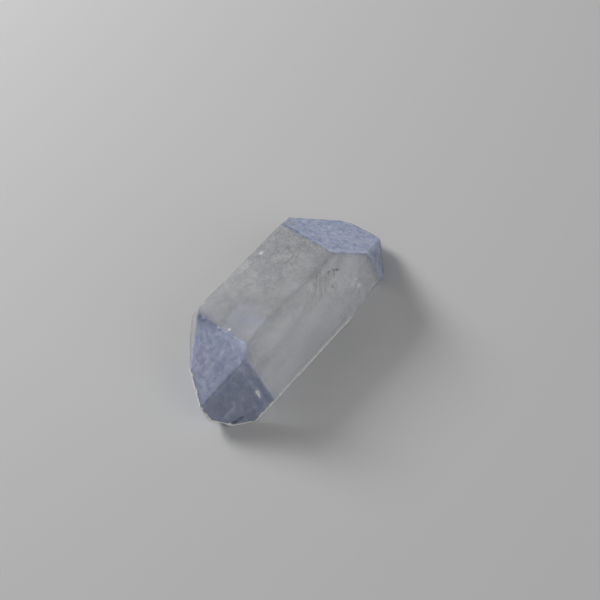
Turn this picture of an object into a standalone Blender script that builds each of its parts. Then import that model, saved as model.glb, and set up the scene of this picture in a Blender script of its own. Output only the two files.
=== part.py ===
# Dumortierite quartz: one quartz crystal with a point at each end, lying on a side face.
# Metres, +Z up, the long axis along X. The origin is on the surface that the crystal lies
# on, under the middle of its bounding box.
# The sides and the faces of both ends share the names in ROLL: a face is reached by
# rolling from straight up towards -Y, in steps of 60 degrees.

import math

import bmesh
import bpy
from mathutils import Vector

MM = 0.001

# Roll of each face round the long axis, in degrees
ROLL = {
    "top": 0.0,
    "front_upper": 60.0,
    "front_lower": 120.0,
    "bottom": 180.0,
    "back_lower": 240.0,
    "back_upper": 300.0,
}

# How far each face has grown from the point where the crystal began, in millimetres
SIDE_GROWTH = {
    "top": 2.15, "front_upper": 2.85, "front_lower": 5.6,
    "bottom": 4.25, "back_lower": 4.1, "back_upper": 4.5,
}
RIGHT_END_GROWTH = {
    "top": 5.3, "front_upper": 7.45, "front_lower": 9.75,
    "bottom": 10.2, "back_lower": 10.3, "back_upper": 8.2,
}
LEFT_END_GROWTH = {  # the front lower face has grown out of existence here
    "top": 5.3, "front_upper": 6.4,
    "bottom": 9.55, "back_lower": 7.4, "back_upper": 6.85,
}
END_FACE_TILT = math.radians(51.8)  # between the long axis and an end face's normal

# Worn edges
EDGE_WEAR = 0.08 * MM
EDGE_WEAR_STEPS = 2
EDGE_WEAR_ANGLE = math.radians(15.0)

# Slender facet along the edge between the top and the front upper side: it runs out to
# nothing near both ends and is deepest at one place
SLENDER_RIGHT_X = 5.9 * MM
SLENDER_DEEPEST_X = -3.7 * MM
SLENDER_LEFT_X = -5.9 * MM
SLENDER_DEPTH = 0.17 * MM

# Growth ledge: towards the right end the front lower side drops to a lower level
LEDGE_LEVEL = 5.25 * MM
LEDGE_START = 3.9 * MM
LEDGE_FOOT = 6.5 * MM

# Shallow chip on the edge between the top and the front upper side, near the right end
CHIP_X = 4.1 * MM
CHIP_RADII = Vector((2.4, 0.9, 0.9)) * MM
CHIP_DEPTH = 0.2 * MM

# Etch pits, six-sided, on the front upper side: place along X, distance down the side
# from its upper edge, radius and depth, in millimetres
ETCH_PITS = (
    (4.9, 1.15, 0.28, 0.20),
    (3.3, 0.75, 0.24, 0.16),
    (5.8, 3.4, 0.30, 0.12),
    (-1.9, 0.55, 0.22, 0.14),
)

# Nick in the ridge low on the left end
NICK_X = -10.5 * MM
NICK_RADIUS = 0.45 * MM
NICK_DEPTH = 0.16 * MM

# Quartz: clear, cold grey, with a satin skin
QUARTZ_COLOUR = (0.62, 0.66, 0.74, 1.0)
QUARTZ_ROUGHNESS = 0.28
QUARTZ_IOR = 1.544

BLANK_RADIUS = 20.0 * MM
BLANK_LENGTH = 60.0 * MM
CUTTER_SIZE = 30.0 * MM


def side_normal(name):
    """Outward normal of a side face."""
    roll = math.radians(ROLL[name])
    return Vector((0.0, -math.sin(roll), math.cos(roll)))


def end_normal(name, direction):
    """Outward normal of an end face; direction is +1 for the right end, -1 for the left."""
    across = side_normal(name) * math.sin(END_FACE_TILT)
    return across + Vector((direction * math.cos(END_FACE_TILT), 0.0, 0.0))


def side_edge(name_a, name_b, along):
    """Point at X = along on the line where two sides meet."""
    a, b = side_normal(name_a), side_normal(name_b)
    reach_a, reach_b = SIDE_GROWTH[name_a] * MM, SIDE_GROWTH[name_b] * MM
    det = a.y * b.z - a.z * b.y
    y = (reach_a * b.z - a.z * reach_b) / det
    z = (a.y * reach_b - reach_a * b.y) / det
    return Vector((along, y, z))


def cut_flat(bm, normal, distance):
    """Cut away all that lies beyond a plane and close the cut with one flat face."""
    geometry = bm.verts[:] + bm.edges[:] + bm.faces[:]
    cut = bmesh.ops.bisect_plane(
        bm, geom=geometry, dist=1e-7, plane_co=normal * distance,
        plane_no=normal, clear_outer=True)
    rim = [item for item in cut["geom_cut"] if isinstance(item, bmesh.types.BMEdge)]
    bmesh.ops.holes_fill(bm, edges=rim)


def grow_faces(bm):
    """Cut a six-sided blank back to every side and end face."""
    for name, growth in SIDE_GROWTH.items():
        cut_flat(bm, side_normal(name), growth * MM)
    for name, growth in RIGHT_END_GROWTH.items():
        cut_flat(bm, end_normal(name, 1), growth * MM)
    for name, growth in LEFT_END_GROWTH.items():
        cut_flat(bm, end_normal(name, -1), growth * MM)


def add_object(name, bm, collection, parent):
    """Put a bmesh into a new object under the parent."""
    mesh = bpy.data.meshes.new(name)
    bmesh.ops.recalc_face_normals(bm, faces=bm.faces)
    bm.to_mesh(mesh)
    bm.free()
    obj = bpy.data.objects.new(name, mesh)
    obj.parent = parent
    collection.objects.link(obj)
    return obj


def make_crystal(collection, parent):
    """The whole crystal with flat faces and lightly worn edges."""
    bm = bmesh.new()
    bmesh.ops.create_cone(
        bm, cap_ends=True, segments=6, radius1=BLANK_RADIUS, radius2=BLANK_RADIUS,
        depth=BLANK_LENGTH)
    for vert in bm.verts:
        vert.co = Vector((vert.co.z, vert.co.y, -vert.co.x))
    grow_faces(bm)
    crystal = add_object("crystal", bm, collection, parent)
    wear = crystal.modifiers.new("worn_edges", "BEVEL")
    wear.width = EDGE_WEAR
    wear.segments = EDGE_WEAR_STEPS
    wear.limit_method = "ANGLE"
    wear.angle_limit = EDGE_WEAR_ANGLE
    return crystal


def make_wedge_cutter(name, planes, collection, parent):
    """A cutter that lies beyond every plane given, each as an outward normal and a point."""
    bm = bmesh.new()
    bmesh.ops.create_cube(bm, size=CUTTER_SIZE)
    middle = planes[0][1]
    for vert in bm.verts:
        vert.co += middle
    for normal, point in planes:
        cut_flat(bm, -normal, -normal.dot(point))
    return add_object(name, bm, collection, parent)


def make_ledge_cutter(collection, parent):
    """What the growth ledge leaves out: a wedge between the ledge's level and its slope."""
    outward = side_normal("front_lower")
    rise = SIDE_GROWTH["front_lower"] * MM - LEDGE_LEVEL
    run = LEDGE_FOOT - LEDGE_START
    slope = (outward * run + Vector((rise, 0.0, 0.0))).normalized()
    start = outward * (LEDGE_LEVEL + rise) + Vector((LEDGE_START, 0.0, 0.0))
    level = (outward, outward * LEDGE_LEVEL)
    return make_wedge_cutter("ledge_cutter", (level, (slope, start)), collection, parent)


def make_slender_cutter(collection, parent):
    """What the slender facet leaves out: each half slopes from an end to the deepest place."""
    outward = (side_normal("top") + side_normal("front_upper")).normalized()
    planes = []
    for run_out_x in (SLENDER_RIGHT_X, SLENDER_LEFT_X):
        lean = SLENDER_DEPTH / (run_out_x - SLENDER_DEEPEST_X)
        normal = (outward - Vector((lean, 0.0, 0.0))).normalized()
        planes.append((normal, side_edge("top", "front_upper", run_out_x)))
    return make_wedge_cutter("slender_cutter", planes, collection, parent)


def make_scoop(name, centre, radii, collection, parent):
    """A round cutter that leaves a shell-shaped chip."""
    bm = bmesh.new()
    bmesh.ops.create_uvsphere(bm, u_segments=14, v_segments=9, radius=1.0)
    for vert in bm.verts:
        vert.co = centre + Vector(a * b for a, b in zip(vert.co.xyz, radii))
    return add_object(name, bm, collection, parent)


def make_chip_cutter(collection, parent):
    """The chip lies across the edge between the top and the front upper side."""
    edge = side_edge("top", "front_upper", CHIP_X)
    outward = (side_normal("top") + side_normal("front_upper")).normalized()
    centre = edge + outward * (CHIP_RADII.z - CHIP_DEPTH)
    return make_scoop("chip_cutter", centre, CHIP_RADII, collection, parent)


def make_nick_cutter(collection, parent):
    """The nick lies on the ridge between two faces low on the left end."""
    a, b = end_normal("front_upper", -1), end_normal("bottom", -1)
    reach_a = LEFT_END_GROWTH["front_upper"] * MM - a.x * NICK_X
    reach_b = LEFT_END_GROWTH["bottom"] * MM - b.x * NICK_X
    det = a.y * b.z - a.z * b.y
    ridge = Vector((
        NICK_X,
        (reach_a * b.z - a.z * reach_b) / det,
        (a.y * reach_b - reach_a * b.y) / det))
    outward = (a + b).normalized()
    centre = ridge + outward * (NICK_RADIUS - NICK_DEPTH)
    radii = Vector((NICK_RADIUS, NICK_RADIUS, NICK_RADIUS))
    return make_scoop("nick_cutter", centre, radii, collection, parent)


def make_pit_cutter(index, along, down, radius, depth, collection, parent):
    """A six-sided etch pit that points into the front upper side."""
    outward = side_normal("front_upper")
    downward = Vector((-1.0, 0.0, 0.0)).cross(outward)
    if downward.z > 0:
        downward.negate()
    mouth = side_edge("top", "front_upper", along * MM) + downward * down * MM
    bm = bmesh.new()
    bmesh.ops.create_cone(
        bm, cap_ends=True, segments=6, radius1=0.0, radius2=2.0 * radius * MM,
        depth=2.0 * depth * MM)
    turn = outward.to_track_quat("Z", "Y").to_matrix()
    for vert in bm.verts:
        vert.co = mouth + turn @ vert.co
    return add_object("pit_cutter_%d" % index, bm, collection, parent)


def quartz_material():
    """Clear quartz with a satin skin."""
    material = bpy.data.materials.new("quartz")
    material.use_nodes = True
    shader = material.node_tree.nodes["Principled BSDF"]
    shader.inputs["Base Color"].default_value = QUARTZ_COLOUR
    shader.inputs["Roughness"].default_value = QUARTZ_ROUGHNESS
    shader.inputs["IOR"].default_value = QUARTZ_IOR
    shader.inputs["Metallic"].default_value = 0.0
    return material


def subtract(obj, cutters):
    """Take each cutter out of the object."""
    for cutter in cutters:
        boolean = obj.modifiers.new(cutter.name, "BOOLEAN")
        boolean.operation = "DIFFERENCE"
        boolean.solver = "EXACT"
        boolean.object = cutter
        cutter.hide_render = True
        cutter.display_type = "WIRE"


def stand_on_origin(obj, parent):
    """Move the parent so that the finished crystal lies over the origin."""
    bpy.context.view_layer.update()
    evaluated = obj.evaluated_get(bpy.context.evaluated_depsgraph_get())
    corners = [vert.co for vert in evaluated.data.vertices]
    low = [min(co[axis] for co in corners) for axis in range(3)]
    high = [max(co[axis] for co in corners) for axis in range(3)]
    parent.location = (-(low[0] + high[0]) / 2, -(low[1] + high[1]) / 2, -low[2])


def main():
    for obj in list(bpy.data.objects):
        bpy.data.objects.remove(obj, do_unlink=True)
    model = bpy.data.collections.new("dumortierite_quartz")
    cutters = bpy.data.collections.new("cutters")
    bpy.context.scene.collection.children.link(model)
    bpy.context.scene.collection.children.link(cutters)
    growth_point = bpy.data.objects.new("growth_point", None)
    model.objects.link(growth_point)

    crystal = make_crystal(model, growth_point)
    crystal.data.materials.append(quartz_material())
    tools = [
        make_ledge_cutter(cutters, growth_point),
        make_slender_cutter(cutters, growth_point),
        make_chip_cutter(cutters, growth_point),
        make_nick_cutter(cutters, growth_point),
    ]
    for index, pit in enumerate(ETCH_PITS):
        tools.append(make_pit_cutter(index, *pit, cutters, growth_point))
    subtract(crystal, tools)
    stand_on_origin(crystal, growth_point)


main()
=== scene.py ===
# Dumortierite quartz: the looks of one clear crystal with pale blue ends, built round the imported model.
# Shapes are worked out in millimetres and put into the meshes in metres.

import itertools
import math

import bmesh
import bpy
import numpy as np
from mathutils import Matrix, Vector


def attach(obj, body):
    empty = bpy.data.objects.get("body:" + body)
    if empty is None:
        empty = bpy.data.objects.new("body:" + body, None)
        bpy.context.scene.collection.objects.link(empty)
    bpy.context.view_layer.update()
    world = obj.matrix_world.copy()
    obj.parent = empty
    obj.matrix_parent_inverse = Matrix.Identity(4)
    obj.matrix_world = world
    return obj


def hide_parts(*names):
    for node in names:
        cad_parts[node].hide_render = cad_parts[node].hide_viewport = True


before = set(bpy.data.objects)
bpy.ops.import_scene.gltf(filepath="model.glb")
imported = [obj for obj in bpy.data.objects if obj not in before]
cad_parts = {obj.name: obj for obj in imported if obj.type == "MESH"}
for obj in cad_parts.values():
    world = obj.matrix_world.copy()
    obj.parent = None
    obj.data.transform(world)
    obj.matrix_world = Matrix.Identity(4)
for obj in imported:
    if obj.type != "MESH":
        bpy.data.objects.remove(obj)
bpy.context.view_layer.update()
mm = 0.001
print("frame loaded")

# Crystal faces, numbered 0 to 5 for the sides, by roll from straight up towards -Y in steps of 60 degrees:
# top, front upper, front lower, bottom, back lower, back upper. 6 to 11 are the right end's faces and 12 to
# 17 the left end's, in the same order.
crystal = {
    "growthPoint": (-0.687, -0.043, 4.25),   # where the crystal began, mm
    "endTilt": 51.8,                         # degrees between the long axis and an end face's normal
    "outgrown": 14,                          # the left end's front lower face: its neighbours grew past it
    "clearEnd": 17,                          # the left end's back upper face, which stayed clear
    "spacing": 0.10,                         # mm between points of the surface
    "columns": 164,                          # steps along each long edge
    "crowding": 0.35,                        # how much closer the points lie near edges
    "ringPower": 1.1,                        # 1 spaces an end face's rings evenly, more draws them outwards
    "softness": 0.024,                       # mm, how round the worn edges are
    "inset": 0.012,                          # mm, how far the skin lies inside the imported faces
    "skinDepth": 0.6,                        # mm, unevenness is worked out for points this near a face
    "ledge": (5.25, 3.9, 6.5),               # the front lower side's lower level, and its slope's two ends
    "slender": (-5.8, -2.0, 2.6, 0.50),      # slender facet: left end, widest place, right end, width
    "slenderLean": 0.66,                     # 0 turns it like the top, 1 like the front upper side
    "roundEdge": (0.4, 3.6, 0.08),           # the same edge grows rounder: from, to and roundness, mm
    "chip": (4.1, 2.4, 0.9, 0.05),           # chip on the same edge: place, radius along, across, depth
    "nick": (-10.5, 0.45, 0.16),             # nick in the left end's low ridge: place, radius, depth
    # Worn chips along the edges, each steepness * radius + least mm deep
    "edgeChips": {"count": 90, "radius": (0.10, 0.42), "steepness": (0.05, 0.16), "least": 0.03},
    "pits": ((4.9, 1.15, 0.22, 0.10), (3.3, 0.75, 0.24, 0.08),   # on the front upper side: along, down from
             (5.8, 3.4, 0.26, 0.07), (3.8, 1.7, 0.16, 0.06),     # its upper edge, radius and depth
             (1.5, 0.2, 0.20, 0.06), (-1.7, 0.4, 0.22, 0.08)),
    "smallPits": {"count": 7, "radius": (0.10, 0.24), "steepness": 0.22},      # on each face
}
ahead = np.array((1.0, 0.0, 0.0))            # the crystal's long axis


# Directions brought to length 1: v / |v|
def unit(ways):
    return ways / np.linalg.norm(ways, axis=-1, keepdims=True)


# A side's normal is (0, -sin roll, cos roll); an end face's is that times sin tilt, plus cos tilt along X
def faceNormals():
    roll = np.radians(np.arange(0.0, 360.0, 60.0))
    tilt = math.radians(crystal["endTilt"])
    side = np.stack((0 * roll, -np.sin(roll), np.cos(roll)), axis=1)
    along = math.cos(tilt) * ahead
    return np.concatenate((side, side * math.sin(tilt) + along, side * math.sin(tilt) - along))


normals = faceNormals()
across = unit(np.cross(ahead, normals))                 # lies in each face, square to the long axis
upward = np.cross(normals, across)                      # the face's other direction
faces = [f for f in range(18) if f != crystal["outgrown"]]
blueFaces = [f for f in faces if f >= 6 and f != crystal["clearEnd"]]
growth = np.array(crystal["growthPoint"])

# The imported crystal's furthest reach along each normal gives where that face lies
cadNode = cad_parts["crystal"]
cadPoints = np.empty(3 * len(cadNode.data.vertices), np.float32)
cadNode.data.vertices.foreach_get("co", cadPoints)
cadPoints = cadPoints.reshape(-1, 3) / mm - growth
reach = (cadPoints @ normals.T).max(axis=0)


# Corners of the solid whose faces are n . p = reach: every three faces meet in a point, and the points that
# lie beyond no face are corners. Each face gets its corners in order round its middle.
def facePolygons(reachOf):
    triples = np.array(list(itertools.combinations(faces, 3)))
    systems = normals[triples]
    meeting = np.abs(np.linalg.det(systems)) > 1e-3
    points = np.linalg.solve(systems[meeting], reachOf[triples[meeting]][..., None])[..., 0]
    inside = (points @ normals[faces].T < reachOf[faces] + 1e-5).all(axis=1)
    corners = np.unique(np.round(points[inside], 4), axis=0)
    loops = {}
    for f in faces:
        on = np.flatnonzero(np.abs(corners @ normals[f] - reachOf[f]) < 1e-3)
        if len(on) < 3:
            continue
        flat = corners[on] - corners[on].mean(axis=0)
        loops[f] = on[np.argsort(np.arctan2(flat @ upward[f], flat @ across[f]))]
    return corners, loops


# Points from a to b in count steps u, crowded towards both ends: u - k sin(2 pi u) / (2 pi)
def edgePoints(a, b, count):
    u = np.linspace(0.0, 1.0, count + 1)[:, None]
    u = u - crystal["crowding"] * np.sin(2 * math.pi * u) / (2 * math.pi)
    return a + (b - a) * u


# Grid between four rims, each a row of points: the blend of bottom and top plus that of left and right,
# less the blend of the four corners
def coonsGrid(bottom, top, left, right):
    s = np.linspace(0.0, 1.0, len(bottom))[:, None, None]
    t = np.linspace(0.0, 1.0, len(left))[None, :, None]
    between = (1 - t) * bottom[:, None] + t * top[:, None] + (1 - s) * left[None] + s * right[None]
    corner = (1 - s) * ((1 - t) * bottom[0] + t * top[0]) + s * ((1 - t) * bottom[-1] + t * top[-1])
    return between - corner


# Rings of one face: the rim drawn in towards the middle, p = middle + t (rim - middle), t from 1 to 0
def ringGrid(rim, rings):
    middle = rim.mean(axis=0)
    t = 1 - np.linspace(0.0, 1.0, rings + 1) ** crystal["ringPower"]
    return middle + t[:, None, None] * (rim - middle)[None]


# Point numbers of the faces of a grid, whose first number is start
def gridFaces(rows, columns, start):
    n = start + np.arange(rows * columns).reshape(rows, columns)
    return np.stack((n[:-1, :-1], n[1:, :-1], n[1:, 1:], n[:-1, 1:]), axis=-1).reshape(-1, 4)


# The edges of each face in order, as pairs of corner numbers, and the faces beside each edge
def faceEdges(loops):
    edgesOf = {f: [tuple(sorted(e)) for e in zip(loop, np.roll(loop, -1))] for f, loop in loops.items()}
    owners = {}
    for f, edges in edgesOf.items():
        for e in edges:
            owners.setdefault(e, []).append(f)
    return edgesOf, owners


# A side's rim in four parts: a long edge, a chain of short ones, the other long edge and the other chain
def rimParts(edges, owners):
    isLong = [max(owners[e]) < 6 for e in edges]
    first = next(i for i in range(len(edges)) if isLong[i] and not isLong[i - 1])
    order = [(first + i) % len(edges) for i in range(len(edges))]
    cut = order.index(next(i for i in order[1:] if isLong[i]))
    return [order[0]], order[1:cut], [order[cut]], order[cut + 1:]


# All chosen faces of the solid as grids whose rims match: a side is a grid between its two long edges and
# the chains of short edges at its ends, and an end face is rings
def solidGrids(reachOf, chosen, spacing, columns):
    corners, loops = facePolygons(reachOf)
    edgesOf, owners = faceEdges(loops)
    length = {e: np.linalg.norm(corners[e[1]] - corners[e[0]]) for e in owners}
    steps = {e: max(4, round(length[e] / spacing)) for e in owners}
    parts = {f: rimParts(edgesOf[f], owners) for f in loops if f < 6}
    for f, numbers in parts.items():
        bottom, right, top, left = ([edgesOf[f][i] for i in part] for part in numbers)
        most = max(sum(steps[e] for e in chain) for chain in (right, left))
        steps[bottom[0]] = steps[top[0]] = columns
        for chain in (right, left):
            total = sum(length[e] for e in chain)
            for e in chain[:-1]:
                steps[e] = max(3, round(most * length[e] / total))
            steps[chain[-1]] = most - sum(steps[e] for e in chain[:-1])
    drawn = {e: edgePoints(corners[e[0]], corners[e[1]], steps[e]) for e in owners}

    def rimOf(f, which):
        loop, edges, points = loops[f], edgesOf[f], []
        for i in which:
            line = drawn[edges[i]] if edges[i][0] == loop[i] else drawn[edges[i]][::-1]
            points.append(line[:-1])
        return np.concatenate(points + [line[-1:]])

    grids = {}
    for f in (f for f in loops if f in chosen):
        if f < 6:
            bottom, right, top, left = (rimOf(f, part) for part in parts[f])
            grids[f] = coonsGrid(bottom, top[::-1], left[::-1], right)
        else:
            rim = rimOf(f, range(len(loops[f])))
            radius = np.linalg.norm(rim[:-1] - rim[:-1].mean(axis=0), axis=1).mean()
            grids[f] = ringGrid(rim, max(4, round(radius / spacing)))
    return grids


# Smooth noise from -1 to 1: cosine waves in random directions, each about size long, added up, divided by the
# root of their number and bent by tanh
def waves(points, size, seed, count=18):
    rng = np.random.default_rng(seed)
    direction = rng.normal(size=(3, count))
    direction *= 2 * math.pi * rng.uniform(0.6, 1.5, count) / (size * np.linalg.norm(direction, axis=0))
    phase = rng.uniform(0, 2 * math.pi, count)
    return np.tanh(np.cos(points @ direction + phase).sum(axis=1) / math.sqrt(count))


# 1 below 0 and 0 above width, with a smooth fall between
def fading(value, width):
    t = np.clip(value / width, 0, 1)
    return 1 - t * t * (3 - 2 * t)


# A pit on a face: depth times 1 less the six-sided (or three-sided) distance from its middle over its radius
def pit(a, b, place, radius, depth, corners, turn):
    angles = turn + 2 * math.pi * np.arange(corners) / corners
    distance = np.max([math.cos(g) * (a - place[0]) + math.sin(g) * (b - place[1]) for g in angles], axis=0)
    return depth * np.clip(1 - distance / radius, 0, 1)


# Unevenness of the sides and of the end faces, in mm: size and height of slow swells and of grain, and the
# length, width and height of streaks
relief = {
    "side": {"swell": (2.8, 0.012), "grain": (0.34, 0.0016), "streak": (1.6, 0.20, 0.0014)},
    "right end": {"swell": (1.5, 0.010), "grain": (0.36, 0.0080), "streak": (0.9, 0.25, 0.0020)},
    "left end": {"swell": (1.5, 0.010), "grain": (0.36, 0.0035), "streak": (0.9, 0.25, 0.0010)},
}


# How far a face lies below its flat plane at each point: slow swells, grain, faint streaks that run square to
# the long axis, and pits
def faceRelief(points, f):
    a, b = points @ across[f], points @ upward[f]
    flat = np.stack((a, b, np.full(len(a), 9.0 * f)), axis=1)       # 9 mm apart, so that no two faces match
    sizes = relief["side" if f < 6 else "right end" if f < 12 else "left end"]
    size, height = sizes["swell"]
    depth = height * (1 + waves(flat, size, 11 + f))
    size, height = sizes["grain"]
    depth += height * (1 + waves(flat, size, 71 + f, 40))
    long, short, height = sizes["streak"]
    bent = flat / (long, short, 1.0)
    bent[:, 1] += 1.2 * waves(flat, 3 * long, 31 + f)
    depth += height * (1 + waves(bent, 1.0, 51 + f))
    for x, down, size, deep in (crystal["pits"] if f == 1 else ()):
        place = sideEdge(0, 1, x) + down * across[1]
        depth += pit(a, b, (place @ across[1], place @ upward[1]), size, deep, 6, 0.3)
    small = crystal["smallPits"]
    rng = np.random.default_rng(91 + f)
    middle = reach[f] * normals[f]
    for _ in range(small["count"]):
        place = rng.normal(size=2) * ((1.0, 4.0) if f < 6 else (1.3, 1.3))
        place = place + (middle @ across[f], middle @ upward[f])
        size = rng.uniform(*small["radius"])
        depth += pit(a, b, place, size, small["steepness"] * size, 6 if f < 6 else 3, rng.uniform(0, 0.3))
    return depth


# Where two sides' planes meet, at the place x along
def sideEdge(f, g, x):
    pair = np.stack((normals[f][1:], normals[g][1:]))
    return np.array((x, *np.linalg.solve(pair, (reach[f], reach[g]))))


# Round scoops taken out of the solid, as middles and radii: worn chips at random places along the edges, and
# the nick
def edgeScoops():
    corners, loops = facePolygons(reach)
    owners = faceEdges(loops)[1]
    chips = crystal["edgeChips"]
    rng = np.random.default_rng(5)
    keys = sorted(owners)
    lengths = np.array([np.linalg.norm(corners[i] - corners[j]) for i, j in keys])
    picked = rng.choice(len(keys), chips["count"], p=lengths / lengths.sum())
    share = rng.uniform(0.02, 0.98, len(picked))[:, None]
    ends = corners[np.array(keys)[picked]]
    outward = unit(np.array([normals[owners[keys[k]]].sum(axis=0) for k in picked]))
    radius = rng.uniform(*chips["radius"], len(picked))
    depth = rng.uniform(*chips["steepness"], len(picked)) * radius + chips["least"]
    middles = ends[:, 0] + share * (ends[:, 1] - ends[:, 0]) + outward * (radius - depth)[:, None]
    x, size, depth = crystal["nick"]
    ridge = np.linalg.solve(np.stack((normals[13], normals[15], ahead)), (reach[13], reach[15], x))
    middles = np.concatenate((middles, [ridge + unit(normals[13] + normals[15]) * (size - depth)]))
    return middles, np.append(radius, size)


scoopMiddles, scoopRadii = edgeScoops()


# How far inside the slender facet each point lies, and the way in which that grows. The facet lies along the
# edge of the top and the front upper side, width * sin(90 degrees * taper) wide, with taper 0 at its ends.
def slenderFacet(points):
    left, widest, right, width = crystal["slender"]
    lean = crystal["slenderLean"]
    facet = unit((1 - lean) * normals[0] + lean * normals[1])
    taper = np.minimum((right - points[:, 0]) / (right - widest), (points[:, 0] - left) / (widest - left))
    taper = np.where(taper > 0, np.sin(0.5 * math.pi * np.clip(taper, 0, 1)), taper)
    level = facet @ sideEdge(0, 1, 0.0) - width * taper * abs(facet @ across[0])
    return level - points @ facet, -facet


# The same for the long chip, a ball stretched along X: |offset squashed along X| - radius
def longChip(points):
    place, long, size, depth = crystal["chip"]
    squash = np.array((size / long, 1.0, 1.0))
    middle = sideEdge(0, 1, place) + unit(normals[0] + normals[1]) * (size - depth)
    way = (points - middle) * squash
    length = np.linalg.norm(way, axis=1)
    return length - size, way * squash / length[:, None]


# The crystal's soft shape: for each face how far inside it a point lies, and the same for the slender facet,
# the long chip and each scoop; together -r log(sum of exp(-distance / r)), which rounds the edges a little.
# Returns that distance, the way in which it grows, and the distance of each face and of the slender facet.
def crystalField(points):
    x = points[:, 0]
    distance = np.empty((len(points), len(faces)))
    ledgeLevel, ledgeStart, ledgeFoot = crystal["ledge"]
    for column, f in enumerate(faces):
        limit = np.full(len(points), reach[f] - crystal["inset"])
        if f == 2:
            limit -= (reach[f] - ledgeLevel) * np.clip((x - ledgeStart) / (ledgeFoot - ledgeStart), 0, 1)
        distance[:, column] = limit - points @ normals[f]
        near = distance[:, column] < crystal["skinDepth"]
        distance[near, column] -= faceRelief(points[near], f)
    slender, slenderSlope = slenderFacet(points)
    chip, chipSlope = longChip(points)
    scoopWay = points[:, None] - scoopMiddles[None]
    scoop = np.linalg.norm(scoopWay, axis=2)
    distance = np.concatenate((distance, slender[:, None], chip[:, None], scoop - scoopRadii), axis=1)
    slope = np.concatenate((np.repeat(-normals[faces][None], len(points), axis=0),
                            np.broadcast_to(slenderSlope, (len(points), 1, 3)), chipSlope[:, None],
                            scoopWay / scoop[..., None]), axis=1)
    start, end, roundness = crystal["roundEdge"]
    nearEdge = np.exp(-(distance[:, 0] + distance[:, 1]).clip(0) / 0.8) * (1 - fading(x - start, end - start))
    soft = crystal["softness"] * (1.3 + 0.7 * waves(points, 1.6, 3)) + roundness * nearEdge
    soft = soft[:, None]
    least = distance.min(axis=1, keepdims=True)
    weight = np.exp(-(distance - least) / soft)
    total = weight.sum(axis=1, keepdims=True)
    value = (least - soft * np.log(total))[:, 0]
    return value, ((weight / total)[..., None] * slope).sum(axis=1), distance[:, :len(faces) + 1]


# Newton's steps onto the soft shape: p - value * slope / |slope|^2
def settle(points, times=3):
    for _ in range(times):
        value, slope, distance = crystalField(points)
        points = points - (value / np.maximum((slope ** 2).sum(axis=1), 0.05))[:, None] * slope
    return points, distance


# A new object in the scene
def placed(name, data):
    made = bpy.data.objects.new(name, data)
    bpy.context.scene.collection.objects.link(made)
    return made


# A mesh object from points in mm, measured from the growth point. Values are kept at the points, doubles are
# merged, and where asked its faces are then turned outwards.
def meshObject(name, points, polygons, merge=True, turnOut=False, values=None):
    mesh = bpy.data.meshes.new(name)
    mesh.from_pydata(((points + growth) * mm).tolist(), [], polygons.tolist())
    for key, value in (values or {}).items():
        mesh.attributes.new(key, "FLOAT", "POINT").data.foreach_set("value", value.astype(np.float32))
    if merge:
        bm = bmesh.new()
        bm.from_mesh(mesh)
        bmesh.ops.remove_doubles(bm, verts=bm.verts, dist=0.0008 * mm)
        bmesh.ops.dissolve_degenerate(bm, edges=bm.edges, dist=0.0004 * mm)
        if turnOut:
            bmesh.ops.recalc_face_normals(bm, faces=bm.faces)
        bm.to_mesh(mesh)
        bm.free()
    mesh.shade_smooth()
    return placed(name, mesh)


# Gives an open sheet its thickness in mm: inwards at the offset -1, half to each side at 0
def thicken(piece, thickness, offset):
    wall = piece.modifiers.new("thickness", "SOLIDIFY")
    wall.thickness = thickness * mm
    wall.offset = offset


# Grids into one list of points and one of faces, each turned outwards
def joinGrids(grids):
    points, polygons, start = [], [], 0
    for f, grid in grids.items():
        quads = gridFaces(*grid.shape[:2], start)
        flat = grid.reshape(-1, 3)
        a, b, c = flat[quads[0] - start][:3]
        if np.cross(b - a, c - b) @ normals[f] < 0:
            quads = quads[:, ::-1]
        points.append(flat)
        polygons.append(quads)
        start += len(flat)
    return np.concatenate(points), np.concatenate(polygons)


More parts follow.
